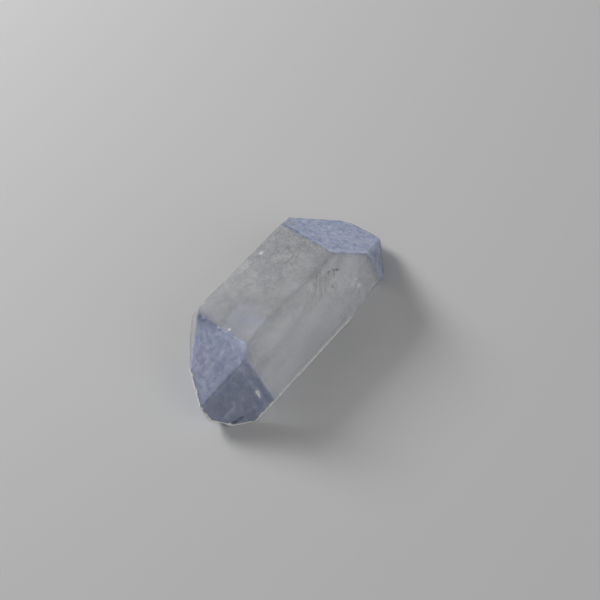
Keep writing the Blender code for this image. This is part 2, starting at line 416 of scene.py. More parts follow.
# Pale and dark marks in the skin, each a soft spot or streak: middle, way it runs, half length, half width,
# all in mm from the growth point, and strength, positive for pale and negative for dark
marks = (
    ((2.22, 3.26, 2.15), (0.8, -0.6, 0), 0.21, 0.16, 1.0),
    ((2.15, 1.12, 2.15), ahead, 0.12, 0.1, 0.4), ((1.1, -1.36, 2.15), ahead, 0.34, 0.2, 0.35),
    ((1.45, -1.6, 2.1), ahead, 0.16, 0.12, -0.5), ((-1.67, -1.79, 2.1), ahead, 0.2, 0.14, -0.6),
    ((-2.29, -1.6, 2.15), ahead, 0.22, 0.12, 0.4), ((-5.49, 0.19, 2.15), ahead, 0.15, 0.12, 1.0),
    ((-5.82, 1.12, 2.15), (0.5, -1, 0), 0.42, 0.1, 0.5),
    ((4.94, -2.64, 1.12), (1, -0.4, -0.7), 0.32, 0.12, -1.6),
    ((4.6, -2.72, 1.0), (-0.7, -0.4, -0.7), 0.45, 0.1, -1.0),
    ((4.2, -2.45, 1.4), (1, -0.2, -0.2), 0.45, 0.11, -0.9),
    ((4.05, -2.6, 1.0), (-0.7, -0.5, -0.87), 0.35, 0.09, -0.8),
    ((3.33, -2.18, 1.9), ahead, 0.5, 0.15, -0.8), ((3.79, -3.11, 0.32), ahead, 0.16, 0.14, -1.0),
    ((5.58, -3.76, -0.85), ahead, 0.2, 0.18, 1.2), ((6.05, -3.7, -0.7), ahead, 0.2, 0.12, 0.9),
    ((6.04, -3.98, -1.22), (0.7, -0.3, -0.6), 0.26, 0.2, 1.3),
    ((5.75, -3.9, -1.08), ahead, 0.1, 0.1, -0.9), ((6.1, -3.8, -0.92), ahead, 0.2, 0.07, -0.7),
    ((2.12, -3.23, 0.1), ahead, 0.22, 0.16, 0.5), ((3.51, -3.49, -0.34), ahead, 0.16, 0.14, 0.4),
    ((6.78, -2.93, 0.62), (1, 0.2, 0.3), 0.55, 0.3, 0.35),
    ((5.79, -4.54, -2.17), ahead, 0.11, 0.1, 0.5), ((-3.86, -3.27, 0.04), ahead, 0.3, 0.12, 0.3),
    ((-4.1, -3.4, -0.2), ahead, 0.26, 0.12, -0.22),
    ((-4.46, -4.22, -1.61), ahead, 0.3, 0.16, -0.15),
    ((-7.34, -3.72, -1.71), (0.12, 0.38, 0.86), 0.5, 0.19, 1.0),
    ((-9.1, -2.46, -2.2), (0.2, 0.6, 0.3), 0.26, 0.13, 0.42),
    ((-9.3, -2.5, -2.62), (0.9, -0.3, 0.6), 0.3, 0.12, 0.45),
    ((-9.86, -2.2, -3.05), (0.9, -0.3, 0.6), 0.42, 0.11, 0.38),
    ((-8.03, -3.75, -2.85), ahead, 0.3, 0.2, 0.25),
    ((-9.72, -2.78, -3.83), (0.9, -0.5, 0.2), 0.34, 0.11, -0.7),
    ((-9.23, -3.08, -3.58), (0.9, -0.5, 0.2), 0.34, 0.1, -0.6),
    ((-1.22, 2.37, 2.15), (0.8, -0.6, 0), 0.2, 0.12, 0.5),
    ((-1.14, 1.66, 2.15), (0.8, -0.6, 0), 0.2, 0.12, 0.45),
    ((-6.71, -0.11, 1.47), ahead, 0.24, 0.18, 0.45),
    ((-8.89, -0.3, -0.25), ahead, 0.24, 0.18, 0.25), ((8.07, 3.57, 0.4), ahead, 0.22, 0.16, 0.4),
    ((9.08, 1.13, -0.4), ahead, 0.22, 0.16, 0.3),
)
# Broad painted light (positive) and painted shade (negative): middle, half length along X, half width,
# strength
paintedLightAndShade = (
    ((3.6, -0.8, 2.15), 2.0, 1.1, 0.65), ((0.6, -1.4, 2.15), 1.3, 0.8, 0.7),
    ((-5.1, -1.6, 2.15), 1.2, 0.9, 0.85), ((3.0, 2.6, 2.15), 3.0, 1.5, -0.3),
    ((-2.3, -2.1, 2.1), 1.2, 0.6, -0.15), ((5.8, -3.0, 0.6), 1.4, 1.1, 0.35),
    ((0.6, -4.2, -1.6), 2.6, 1.1, 0.85), ((-5.0, -4.3, -1.7), 1.4, 0.9, 0.4),
    ((-1.8, -3.7, -0.7), 1.2, 0.8, 0.25), ((-6.85, -3.7, -0.7), 0.45, 2.2, -0.6),
    ((6.7, 2.8, 1.2), 1.2, 1.2, -0.15), ((9.8, -0.9, -1.0), 1.8, 1.4, 0.25),
    ((4.2, -2.0, 2.1), 1.7, 0.5, 0.40), ((8.7, -3.4, -0.2), 0.9, 0.9, -0.55),
    ((-7.0, -4.4, -2.3), 0.8, 0.8, -0.35), ((-5.9, 3.2, 2.1), 0.8, 0.8, -0.3),
    ((-10.2, 0.1, -1.3), 1.3, 1.3, -0.10), ((-8.3, -0.8, 0.2), 1.0, 1.0, -0.2),
    ((-10.1, -1.7, -2.5), 0.9, 0.9, -0.08), ((5.0, -2.0, 2.1), 1.2, 0.7, 0.35),
    ((0.8, -3.4, -0.4), 1.6, 1.0, 0.7),
)
skin = {
    "frontPaintedLight": 0.42,                          # painted light that makes the front upper side paler
    "facePaintedShade": {7: -0.15, 12: -0.10, 13: -0.26},      # painted shade that makes these end faces duller
    "dusk": (0.42, 1.4, 3.0),                   # painted shade on the front upper side just below the top: strength, depth, right end
    # Painted highlights (pale) and painted shade (dark) along edges: the faces beside them (18 is the slender
    # facet), strength, width in mm and, where it isn't the whole edge, from and to
    "edgeHighlightsAndShade": (
        (0, 1, 0.3, 0.20), (0, 18, 0.3, 0.20), (1, 2, 0.6, 0.25, -20, 3.4), (1, 2, -0.7, 0.15, 3.8, 20),
        (6, 7, 0.3, 0.20), (1, 7, 0.15, 0.20), (12, 13, 0.1, 0.20), (1, 13, 0.15, 0.25), (0, 12, -0.40, 0.35),
        (0, 6, -0.4, 0.15), (1, 6, -0.5, 0.15), (0, 5, -0.45, 0.15), (5, 11, -0.7, 0.15), (6, 11, -0.8, 0.15),
        (6, 10, -0.8, 0.15), (6, 9, -0.8, 0.15), (7, 8, -0.6, 0.15), (2, 7, -0.5, 0.15), (5, 6, -0.6, 0.15),
    ),
    # Edges with a white rim, partly wear and partly a painted highlight of the edge catching light: the upper
    # and the lower face beside them, how far to the right the rim reaches, and its width; it runs less far
    # down the lower face
    "wearAndHighlightRims": ((1, 2, 3.6, 0.115), (13, 2, 20, 0.115), (13, 3, 20, 0.125), (13, 15, 20, 0.20),
                (13, 16, 20, 0.19), (12, 16, 20, 0.15)),
    "wearAndHighlightFrom": 0.4,                         # a mesh face gets the white rim finish, wear and painted highlight, when this share of it is in a rim
    "grainLoss": (0.75, 4.5, -3.0, 0.35),       # less grain to the left: share, from, to; share off the top
    "grainOf": {6: 1.0, 7: 0.9, 12: 0.45, 13: 0.45},    # how grainy the end faces look
    "blueOf": {12: 0.68},                       # how blue an end face is, where it isn't 1
    "blueBorder": (0.10, 0.32),                 # mm over which the blue fades, and more at the left end
    "markStrength": 1.5,
    # Streaks below the chip: middle along X and up, size of the spot, strength of the streaks and of a soft
    # swell, how far they run left per mm down, and their size along X, Y and down
    "feathers": {"middle": (3.4, 0.6), "size": 2.2, "strength": 2.8, "swell": 0.22, "slant": 0.80,
                 "grain": (0.34, 2.0, 1.3)},
    "patch": {"right": -2.8, "left": 0.9, "lilac": 0.72, "pale": 0.22},     # lilac patch on the top
    "wedge": {"right": -3.7, "tone": -0.22},    # painted shade on the corner beside it
    "greyCorner": (6.7, 4.6, 1.40, 0.95),       # corner of the right end that stayed grey: middle, radius
}
columnOf = {f: i for i, f in enumerate(faces + [18])}       # where crystalField keeps each face's distance


# How much each point is on a face: 1 up to border mm inside the face's plane, and 0 blur mm further in
def onFace(distance, f, border=0.06, blur=0.10):
    return fading(distance[:, columnOf[f]] - border, blur)


# The sum of the marks at each point: strength * exp(-(along / half length)^2 - (aside / half width)^2)
def marksTone(points):
    tone = np.zeros(len(points))
    for middle, way, long, wide, strength in marks:
        offset = points - middle
        near = np.abs(offset).max(axis=1) < 1.6
        along = offset[near] @ unit(way)
        aside = (offset[near] ** 2).sum(axis=1) - along ** 2
        tone[near] += strength * np.exp(-(along / long) ** 2 - aside / wide ** 2)
    return tone


# The sum of the broad painted light and shade: strength * exp(-(offset / half sizes)^2)
def broadPaintedLightTone(points):
    tone = np.zeros(len(points))
    for middle, long, wide, strength in paintedLightAndShade:
        offset = (points - middle) / (long, wide, wide)
        tone += strength * np.exp(-(offset ** 2).sum(axis=1))
    return tone


# The sum of the painted highlights and shade along edges: strength * a ragged share * a fall over the width,
# within its span along X
def paintedEdgeLightTone(x, distance, ragged):
    tone = np.zeros(len(x))
    for f, g, strength, width, *span in skin["edgeHighlightsAndShade"]:
        start, end = span or (-20, 20)
        far = distance[:, columnOf[f]] + distance[:, columnOf[g]]
        part = (1 - fading(x - start, 0.8)) * fading(x - end, 0.8)
        tone += strength * ragged * part * fading(far - 0.02, width)
    return tone


# Feathery streaks that run down below the chip and lean: noise on slanted axes squeezed along X, times a soft
# spot exp(-(offset / size)^2)
def feathersTone(points, distance):
    x, y, z = points.T
    feathers = skin["feathers"]
    down = feathers["middle"][1] - z
    aside = x - feathers["middle"][0] + 0.5 * feathers["slant"] * down
    spread = np.exp(-(aside ** 2 + 0.6 * (down - 0.4) ** 2) / feathers["size"] ** 2)
    bent = x + feathers["slant"] * down + 0.35 * waves(points, 1.6, 60)
    sizeX, sizeY, sizeDown = feathers["grain"]
    combed = np.stack((bent / sizeX, down / sizeDown, y / sizeY), axis=1)
    wisps = np.clip(waves(combed, 1.0, 61, 60) * (0.6 + waves(points, 0.8, 62)), -0.04, 1)
    tone = feathers["strength"] * wisps + feathers["swell"] * waves(points, 1.3, 66)
    return onFace(distance, 1, 0.06, 0.05) * spread * tone


# How much each point is in the lilac patch on the top, how cloudy it is there, and how much it is in the
# wedge of painted shade: falls past their right ends and past a ragged, slanted line at the patch's left
def patchShares(points, distance):
    x, y = points[:, 0], points[:, 1]
    line = skin["patch"]["left"] + 0.10 * waves(points, 1.0, 63) + 0.17 * (x + 5.3)
    beside = fading(y - line, 0.12)
    past = x - skin["patch"]["right"] + 1.0 + 0.5 * waves(points, 1.4, 64)
    patch = onFace(distance, 0, 0.20, 0.15) * fading(past, 1.6) * beside
    cloudy = (0.75 + 0.45 * waves(points, 0.55, 65)) * (0.75 + 0.7 * fading(y + 1.0, 1.3))
    wedge = onFace(distance, 0, 0.04, 0.05) * fading(x - skin["wedge"]["right"], 1.4) * (1 - beside)
    return patch, cloudy, wedge


# How blue each point is: a fall past the ragged border where the blue faces meet the clear ones, wider at the
# left end, less in the grey corner and on paler faces
def blueShare(points, distance):
    leftEnd = fading(points[:, 0] + 5.0, 1.0)
    isBlue = np.array([f in blueFaces for f in faces])
    clearest, bluest = (distance[:, :-1][:, chosen].min(axis=1) for chosen in (~isBlue, isBlue))
    border = 0.02 + 0.05 * waves(points, 0.5, 17) + leftEnd * (0.06 * waves(points, 0.7, 18) - 0.04)
    width, wider = skin["blueBorder"]
    blue = fading(bluest - clearest + border, width + wider * leftEnd)
    *middle, radius = skin["greyCorner"]
    corner = np.linalg.norm(points - middle, axis=1)
    blue *= 1 - 0.85 * fading(corner - radius + 0.15 * waves(points, 0.5, 19), 0.6)
    for f, share in skin["blueOf"].items():
        blue *= 1 - (1 - share) * onFace(distance, f)
    return blue


# How much each point is in a white rim, partly wear and partly painted highlight: 1 where the distances to
# its two faces add up to less than its ragged width. On the lower face, what goes past 0.06 mm counts three
# times.
def wearAndHighlightShare(x, distance, ragged):
    past = []
    for f, g, end, width in skin["wearAndHighlightRims"]:
        below, above = distance[:, columnOf[f]], distance[:, columnOf[g]]
        past.append(above + below + 2 * (below - 0.06).clip(0) + 9.0 * (x > end) - width * ragged)
    return fading(np.min(past, axis=0), 0.01)


# What the skin keeps at each point: tone, the sum of the parts above, pale over 0 and dark under it, which is
# painted light and painted shade apart from the marks, the streaks and the patch's paleness; and the shares
# of blue, lilac, grain and the white rim of wear and painted highlight
def skinValues(points, distance):
    x = points[:, 0]
    ragged = 1 + 0.35 * waves(points, 0.7, 27)
    offTop = 1 - onFace(distance, 0, 0.05, 0.08)
    # Painted highlights and shade along edges, broad painted light and shade, and the streaks below the chip
    tone = paintedEdgeLightTone(x, distance, ragged) + broadPaintedLightTone(points) + feathersTone(points, distance)
    # Painted shade on the duller end faces
    for f, strength in skin["facePaintedShade"].items():
        tone += strength * onFace(distance, f)
    # Painted shade below the top edge
    dusk, depth, end = skin["dusk"]
    dusk = dusk * onFace(distance, 0, 0.10, depth) * fading(x - end, 1.2)
    # Painted light on the front upper side, less the painted shade just below the top
    tone += (skin["frontPaintedLight"] - dusk) * offTop * onFace(distance, 1, 0.40, 0.40)
    patch, cloudy, wedge = patchShares(points, distance)
    # The patch's paleness, and the painted shade of the wedge
    tone += skin["patch"]["pale"] * patch * (0.6 + cloudy) + skin["wedge"]["tone"] * wedge
    tone = np.clip(tone, -1, 1) + skin["markStrength"] * marksTone(points)
    loss, start, end, lossOffTop = skin["grainLoss"]
    grainy = (1 - loss * fading(x - end, start - end)) * (1 - lossOffTop * offTop)
    for f, share in skin["grainOf"].items():
        grainy = grainy + (share - grainy) * onFace(distance, f)
    lilac = skin["patch"]["lilac"] * patch * cloudy
    return {"tone": tone, "blue": blueShare(points, distance), "lilac": lilac, "grainy": grainy,
            "rim": wearAndHighlightShare(x, distance, ragged)}


# The skin as one closed mesh. Its faces in a rim, by the mean over their corners, get the second material,
# the white of wear and painted highlight.
def makeCrystal():
    points, polygons = joinGrids(solidGrids(reach, faces, crystal["spacing"], crystal["columns"]))
    points, distance = settle(points)
    made = meshObject("quartz_crystal", points, polygons, values=skinValues(points, distance))
    mesh = made.data
    rim = np.empty(len(mesh.vertices), np.float32)
    mesh.attributes["rim"].data.foreach_get("value", rim)
    corners, totals = np.empty(len(mesh.loops), np.int32), np.empty(len(mesh.polygons), np.int32)
    mesh.loops.foreach_get("vertex_index", corners)
    mesh.polygons.foreach_get("loop_total", totals)
    shares = np.add.reduceat(rim[corners], np.cumsum(totals) - totals) / totals
    mesh.polygons.foreach_set("material_index", (shares > skin["wearAndHighlightFrom"]).astype(np.int32))
    return made


quartz = makeCrystal()
print("crystal made:", len(quartz.data.polygons), "faces")

# Blue zones: thin felts of dumortierite just under the blue faces. For each end its first face, the felt's
# depth, and how far the ledge takes the front lower side down there.
blueZone = {
    "right": {"first": 6, "depth": 0.13, "lowered": reach[2] - crystal["ledge"][0]},
    "left": {"first": 12, "depth": 0.11, "lowered": 0.0},
    "sideGap": 0.07,                             # mm from the sides
    "thickness": 0.05, "spacing": 0.16, "columns": 40,
}


# One end's felt: the crystal's own faces moved inwards by the depth, and the sides by the gap
def makeZone(end):
    zone = blueZone[end]
    chosen = [f for f in blueFaces if 0 <= f - zone["first"] < 6]
    inner = reach - blueZone["sideGap"]
    inner[2] -= zone["lowered"]
    inner[chosen] = reach[chosen] - zone["depth"]
    points, polygons = joinGrids(solidGrids(inner, chosen, blueZone["spacing"], blueZone["columns"]))
    made = meshObject("blue_zone_" + end, points, polygons)
    thicken(made, blueZone["thickness"], -1.0)
    return made


blueZones = [makeZone(end) for end in ("right", "left")]
print("blue zones made")


# Veils: healed cracks inside, each a thin curved sheet with an uneven rim that stays off the faces. Middle,
# two directions in it, half sizes along them and bulge, all in mm from the growth point
veils = {
    "rings": 26, "around": 120, "clearance": 0.22, "thickness": 0.02,
    "unevenness": (0.30, 0.10), "ripple": 0.10,
    "sheets": (
        ((-1.0, 0.6, -0.6), (1, 0.1, 0.05), (0, 1, 0.15), 8.2, 3.4, 0.5),
        ((2.2, -1.2, -1.2), (1, 0, 0.3), (0, 0.6, -0.8), 5.2, 2.4, 0.4),
        ((-3.6, 1.2, 0.4), (0.75, 0.6, 0.2), (-0.2, 0.3, 0.9), 3.6, 2.2, 0.5),
        ((4.4, 0.4, 0.3), (0.3, 1, 0.1), (0.6, -0.1, 0.8), 3.2, 2.0, 0.3),
        ((0.8, 1.8, -1.6), (0.9, -0.5, 0.1), (0.1, 0.3, 0.9), 4.2, 1.8, 0.6),
    ),
}


# A sheet: p = middle + r (cos g U + sin g V) + bulge (1 - t^2) N, where g goes round, t runs from 0 to 1 and
# r = t times the reach at g, an uneven ellipse cut short where it would come near a face. Returns p and t.
def veilGrid(middle, u, v, halfU, halfV, bulge, seed):
    middle, u, v = (np.array(a, float) for a in (middle, u, v))
    u = unit(u)
    v = unit(v - (v @ u) * u)
    g = np.linspace(0, 2 * math.pi, veils["around"] + 1)[:-1]
    ring = np.stack((np.cos(g), np.sin(g), 0 * g), axis=1)
    broad, fine = veils["unevenness"]
    edge = (1 + broad * waves(ring, 1.3, seed) + fine * waves(ring, 0.3, seed + 1))[:, None]
    way = halfU * edge * ring[:, :1] * u + halfV * edge * ring[:, 1:2] * v
    room = reach[faces] - veils["clearance"] - abs(bulge) - normals[faces] @ middle
    toward = way @ normals[faces].T
    share = np.where(toward > 1e-6, room / np.maximum(toward, 1e-6), 9.0).min(axis=1)
    way *= np.clip(share, 0.05, 1.0)[:, None]
    t = np.linspace(0, 1, veils["rings"] + 1)[:, None, None]
    points = middle + t * way[None] + bulge * (1 - t ** 2) * np.cross(u, v)
    ripple = waves(points.reshape(-1, 3), 1.1, seed + 2).reshape(*points.shape[:2], 1)
    points += veils["ripple"] * ripple * np.cross(u, v)
    return np.concatenate((points, points[:, :1]), axis=1), np.repeat(t[:, :, 0], veils["around"] + 1, axis=1)


veilSheets = [veilGrid(*sheet, 200 + 10 * index) for index, sheet in enumerate(veils["sheets"])]


# All sheets in one mesh, whose fade is 1 - t^2, so that the material dissolves their rims
def makeVeils():
    points, polygons, fades, start = [], [], [], 0
    for grid, t in veilSheets:
        points.append(grid.reshape(-1, 3))
        fades.append(1 - t.ravel() ** 2)
        polygons.append(gridFaces(*grid.shape[:2], start))
        start += len(points[-1])
    made = meshObject("milky_veils", np.concatenate(points), np.concatenate(polygons),
                      values={"fade": np.concatenate(fades)})
    thicken(made, veils["thickness"], 0.0)
    return made


milkyVeils = makeVeils()
print("veils made")

cloud = {"along": 120, "around": 96, "shares": (0.93, 0.62), "softness": 0.25, "unevenness": 0.02,
         "middle": (-0.6, 0.7, -0.9), "stretch": 2.6}


# Milky clouds: closed bags inside each other, p = middle + way * share * (the soft least distance to a face
# along the way) * (1 + unevenness), with ways spread evenly round a ball stretched along X
def makeCloud():
    middle = np.array(cloud["middle"])
    theta = np.linspace(0, math.pi, cloud["along"] + 1)[:, None]
    phi = np.linspace(0, 2 * math.pi, cloud["around"] + 1)[None]
    ball = np.stack(np.broadcast_arrays(cloud["stretch"] * np.cos(theta), np.sin(theta) * np.cos(phi),
                                        np.sin(theta) * np.sin(phi)), axis=-1).reshape(-1, 3)
    room = (reach[faces] - normals[faces] @ middle) / np.maximum(ball @ normals[faces].T, 1e-3)
    room = -np.log(np.exp(-np.minimum(room, 30) / cloud["softness"]).sum(axis=1)) * cloud["softness"]
    points, polygons = [], []
    for index, share in enumerate(cloud["shares"]):
        uneven = 1 + cloud["unevenness"] * waves(ball, 1.2, 400 + index)
        points.append(middle + ball * (share * room * uneven)[:, None])
        polygons.append(gridFaces(cloud["along"] + 1, cloud["around"] + 1, index * len(ball)))
    return meshObject("milky_cloud", np.concatenate(points), np.concatenate(polygons), turnOut=True)


milkyCloud = makeCloud()
print("cloud made")


# Small double-pointed bodies: a tip at each end of a direction and a ring of four points round the middle
def spindles(middles, ways, lengths, widths):
    ways = unit(ways)
    aside = unit(np.cross(ways, (0.31, 0.47, 0.83)))        # any direction that no way is likely to have
    other = np.cross(ways, aside)
    half, wide = lengths[:, None] / 2, widths[:, None] / 2
    points = np.stack((middles + half * ways, middles + wide * aside, middles + wide * other,
                       middles - wide * aside, middles - wide * other, middles - half * ways), axis=1)
    pattern = ((0, 1, 2), (0, 2, 3), (0, 3, 4), (0, 4, 1), (5, 2, 1), (5, 3, 2), (5, 4, 3), (5, 1, 4))
    polygons = np.array(pattern)[None] + 6 * np.arange(len(middles))[:, None, None]
    return points.reshape(-1, 3), polygons.reshape(-1, 3)


# Random places spread evenly over the chosen faces, and the face of each: corners of triangles round each
# face's middle, mixed by random shares
def placesOn(rng, count, chosen):
    corners, loops = facePolygons(reach)
    loops = {f: loop for f, loop in loops.items() if f in chosen}
    triangles = np.array([(corners[loop].mean(axis=0), corners[a], corners[b])
                          for loop in loops.values() for a, b in zip(loop, np.roll(loop, -1))])
    owner = np.array([f for f, loop in loops.items() for _ in loop])
    sides = triangles[:, 1:] - triangles[:, :1]
    area = np.linalg.norm(np.cross(sides[:, 0], sides[:, 1]), axis=1)
    picked = rng.choice(len(triangles), count, p=area / area.sum())
    a, b = np.sqrt(rng.random(count)), rng.random(count)
    shares = np.stack((1 - a, a * (1 - b), a * b), axis=1)
    return (triangles[picked] * shares[..., None]).sum(axis=1), owner[picked]


needles = {
    "count": 7000, "length": (0.12, 0.50), "width": (0.010, 0.022), "depth": (0.05, 0.16),      # mm
    "tilt": 0.12, "clearance": 0.035,       # lean out of the face's plane, and mm they stay inside all faces
}


# Needles of the blue felt, lying in every direction just under the end faces
def makeNeedles():
    rng = np.random.default_rng(23)
    places, owner = placesOn(rng, needles["count"], blueFaces)
    turn = rng.uniform(0, 2 * math.pi, len(places))[:, None]
    ways = np.cos(turn) * across[owner] + np.sin(turn) * upward[owner]
    ways = ways + needles["tilt"] * rng.normal(size=ways.shape)
    middles = places - rng.uniform(*needles["depth"], len(places))[:, None] * normals[owner]
    lengths = rng.uniform(*needles["length"], len(places))
    half = 0.5 * lengths[:, None] * unit(ways)
    limit = reach[faces] - needles["clearance"]
    limit[2] = crystal["ledge"][0] - needles["clearance"]
    tips = np.stack((middles + half, middles - half), axis=1)
    kept = (tips @ normals[faces].T < limit).all(axis=(1, 2))
    points, polygons = spindles(middles[kept], ways[kept], lengths[kept],
                                rng.uniform(*needles["width"], kept.sum()))
    return meshObject("dumortierite_needles", points, polygons, merge=False)


blueNeedles = makeNeedles()
print("needles made:", len(blueNeedles.data.polygons) // 8)

bubbles = {
    "perVeil": 700, "scatter": 0.05,                # mm off the veil
    "free": 260, "freeRoom": ((-8, -3, -4), (8, 4, 2)), "clearance": 0.3,       # mm, where the free ones lie
    "least": 0.02, "more": 0.04, "longer": 1.3,     # mm across, how much more at most, and length over width
}


# Tiny fluid bubbles strewn on the veils and a few through the clear body
def makeBubbles():
    rng = np.random.default_rng(41)
    middles = []
    for index, (grid, t) in enumerate(veilSheets):
        flat, t = grid.reshape(-1, 3), t.ravel()
        chance = (1 - t) * np.clip(0.2 + waves(flat, 1.5, 300 + index), 0, 1) * t
        picked = rng.choice(len(flat), bubbles["perVeil"], p=chance / chance.sum())
        middles.append(flat[picked] + rng.normal(scale=bubbles["scatter"], size=(len(picked), 3)))
    free = rng.uniform(*bubbles["freeRoom"], (bubbles["free"] * 3, 3))
    inside = (free @ normals[faces].T < reach[faces] - bubbles["clearance"]).all(axis=1)
    middles = np.concatenate(middles + [free[inside][:bubbles["free"]]])
    sizes = bubbles["least"] + bubbles["more"] * rng.uniform(0, 1, len(middles)) ** 2
    points, polygons = spindles(middles, rng.normal(size=middles.shape), sizes * bubbles["longer"], sizes)
    return meshObject("fluid_bubbles", points, polygons, merge=False)


fluidBubbles = makeBubbles()
print("bubbles made:", len(fluidBubbles.data.polygons) // 8)

grains = {
    "around": 16, "rings": 5, "proud": 0.010, "crown": 0.008, "deep": 0.04,         # mm, in and on the skin
    "palest": 0.8, "size": 0.9, "waver": 0.15,      # marks from this strength up, flake over mark, uneven rim
    "threads": 80, "along": (2.6, 1.0), "down": (1.6, 0.7), "lean": (-0.9, 0.25),   # middle and spread
    "downTo": (0.3, 3.6), "halfLength": (0.10, 0.34), "halfWidth": (0.018, 0.036),
}


# Fine white threads below the chip, traces of a healed crack: places on the front upper side, each with a way
# that runs down and leans to the left
def threadPlaces():
    rng = np.random.default_rng(77)
    count = grains["threads"]
    down = np.clip(rng.normal(*grains["down"], count), *grains["downTo"])
    places = sideEdge(0, 1, 0.0) + rng.normal(*grains["along"], count)[:, None] * ahead
    places += down[:, None] * across[1]
    ways = across[1] + rng.normal(*grains["lean"], count)[:, None] * ahead
    return places, ways, rng.uniform(*grains["halfLength"], count), rng.uniform(*grains["halfWidth"], count)


# White grains in the skin, at the palest marks and in the threads: low flakes, closed below by one point, so
# p = skin + t (long cos g * way + wide sin g * side) + (proud + crown (1 - t^2)) * out, with t from 1 to 0.
# Their rims waver with sin 3g.
def makeGrains():
    pale = [mark for mark in marks if mark[4] >= grains["palest"]]
    atMarks = [np.array([mark[k] for mark in pale], float) for k in range(4)]
    middles, ways, long, wide = (np.concatenate(both) for both in zip(atMarks, threadPlaces()))
    long, wide = (grains["size"] * half[:, None, None] for half in (long, wide))
    count = len(middles)
    nearest = np.argmin(reach[faces] - middles @ normals[faces].T, axis=1)
    out = normals[np.array(faces)[nearest]]
    side = unit(np.cross(out, ways))
    way = np.cross(side, out)
    around, rings = grains["around"], grains["rings"]
    g = 2 * math.pi * np.arange(around)[None, :, None] / around
    shape = long * np.cos(g) * way[:, None] + wide * np.sin(g) * side[:, None]
    shape = shape * (1 + grains["waver"] * np.sin(3 * g + np.arange(count)[:, None, None]))
    t = np.linspace(1, 0, rings + 1)[None, :, None, None]
    places = middles[:, None, None] + t * shape[:, None]
    places = settle(places.reshape(-1, 3))[0].reshape(places.shape)
    places = places + (grains["proud"] + grains["crown"] * (1 - t ** 2)) * out[:, None, None]
    below = np.repeat((settle(middles)[0] - grains["deep"] * out)[:, None, None], around, axis=2)
    places = np.concatenate((below, places), axis=1)
    places = np.concatenate((places, places[:, :, :1]), axis=2)
    rows, columns = places.shape[1:3]
    polygons = np.concatenate([gridFaces(rows, columns, k * rows * columns) for k in range(count)])
    return meshObject("white_inclusions", places.reshape(-1, 3), polygons[:, ::-1])


whiteGrains = makeGrains()
print("white inclusions made")


# Gives a shader socket its value: a link from another socket, or a constant, where a colour gets its alpha
def fill(tree, socket, value):
    if isinstance(value, bpy.types.NodeSocket):
        tree.links.new(value, socket)
    else:
        socket.default_value = (*value, 1) if isinstance(value, tuple) else value


# Adds a shader node. Settings are its own, inputs are values or sockets to link
def node(tree, kind, inputs=None, **settings):
    made = tree.nodes.new("ShaderNode" + kind)
    for name, value in settings.items():
        setattr(made, name, value)
    for name, value in (inputs or {}).items():
        fill(tree, made.inputs[name], value)
    return made


# Colour mixed from a to b by the share
def mixed(tree, share, a, b, blend="MIX"):
    return node(tree, "Mix", {0: share, 6: a, 7: b}, data_type="RGBA", blend_type=blend).outputs[2]


# Shader mixed from a to b by the share
def blended(tree, share, a, b):
    return node(tree, "MixShader", {0: share, 1: a.outputs[0], 2: b.outputs[0]})


# Value that the mesh keeps at its points
def meshValue(tree, name):
    return node(tree, "Attribute", attribute_name=name).outputs["Fac"]


# An empty material and its tree
def newMaterial(name):
    material = bpy.data.materials.new(name)
    material.use_nodes = True
    material.node_tree.nodes.clear()
    return material, material.node_tree


# Node group shared by the materials: soft speckles of a size in mm, as a share from 0 to 1
def makeSpeckle():
    group = bpy.data.node_groups.new("speckle", "ShaderNodeTree")
    for name, value in (("Size", 1.0), ("Detail", 3.0), ("Low", 0.35), ("High", 0.65)):
        socket = group.interface.new_socket(name, in_out="INPUT", socket_type="NodeSocketFloat")
        socket.default_value = value
    group.interface.new_socket("Share", in_out="OUTPUT", socket_type="NodeSocketFloat")
    given = group.nodes.new("NodeGroupInput").outputs
    place = node(group, "TexCoord").outputs["Object"]
    scale = node(group, "Math", {0: 1 / mm, 1: given["Size"]}, operation="DIVIDE").outputs[0]
    noise = node(group, "TexNoise", {"Vector": place, "Scale": scale, "Detail": given["Detail"],
                                     "Roughness": 0.6})
    share = node(group, "MapRange", {"Value": noise.outputs["Fac"], "From Min": given["Low"],
                                     "From Max": given["High"]})
    made = group.nodes.new("NodeGroupOutput")
    group.links.new(share.outputs["Result"], made.inputs["Share"])
    return group


speckleGroup = makeSpeckle()


# The speckle group placed in a material
def speckle(tree, size, detail=3.0, low=0.35, high=0.65):
    inputs = {"Size": size, "Detail": detail, "Low": low, "High": high}
    return node(tree, "Group", inputs, node_tree=speckleGroup).outputs["Share"]


# A share brought into a range
def ranged(tree, share, low, high, start=0.0, end=1.0):
    return node(tree, "MapRange", {"Value": share, "From Min": start, "From Max": end,
                                   "To Min": low, "To Max": high}).outputs["Result"]


satin = {
    "cool": (0.62, 0.63, 0.66), "warm": (0.855, 0.85, 0.835),               # the clear parts, in clouds
    "clouds": (1.0, 5.0, 0.30, 0.70),                                       # size in mm, detail, low and high
    "dusk": (0.70, 0.70, 0.70), "frost": (1.30, 1.30, 1.30), "grainSizes": (0.20, 0.55),    # grain over them
    "blueDark": (0.46, 0.52, 0.69), "bluePale": (1.05, 1.08, 1.12), "blueSizes": (0.18, 0.52),
    # pale and dark are mixed in by the tone: painted light and painted shade, as well as the pale and dark
    # marks
    "pale": (0.95, 0.96, 0.98), "paleGrain": ((0.87, 0.88, 0.90), (1.03, 1.04, 1.06)),
    "dark": (0.17, 0.19, 0.27), "lilac": (0.66, 0.72, 1.0),
    "roughness": (0.38, 0.50), "bump": (0.30, 0.008),                       # bump: strength, height in mm
    "ior": 1.544, "transmission": 0.74, "absorbed": (0.66, 0.68, 0.72), "density": 60.0, "shadow": 0.8,
}


# Two sizes of speckles together, with the contrast of one
def doubleSpeckle(tree, sizes):
    fine, coarse = speckle(tree, sizes[0], 2.0), speckle(tree, sizes[1], 3.0)
    both = node(tree, "Math", {0: fine, 1: coarse}, operation="ADD")
    return ranged(tree, both.outputs[0], 0.0, 1.0, 0.4, 1.6)


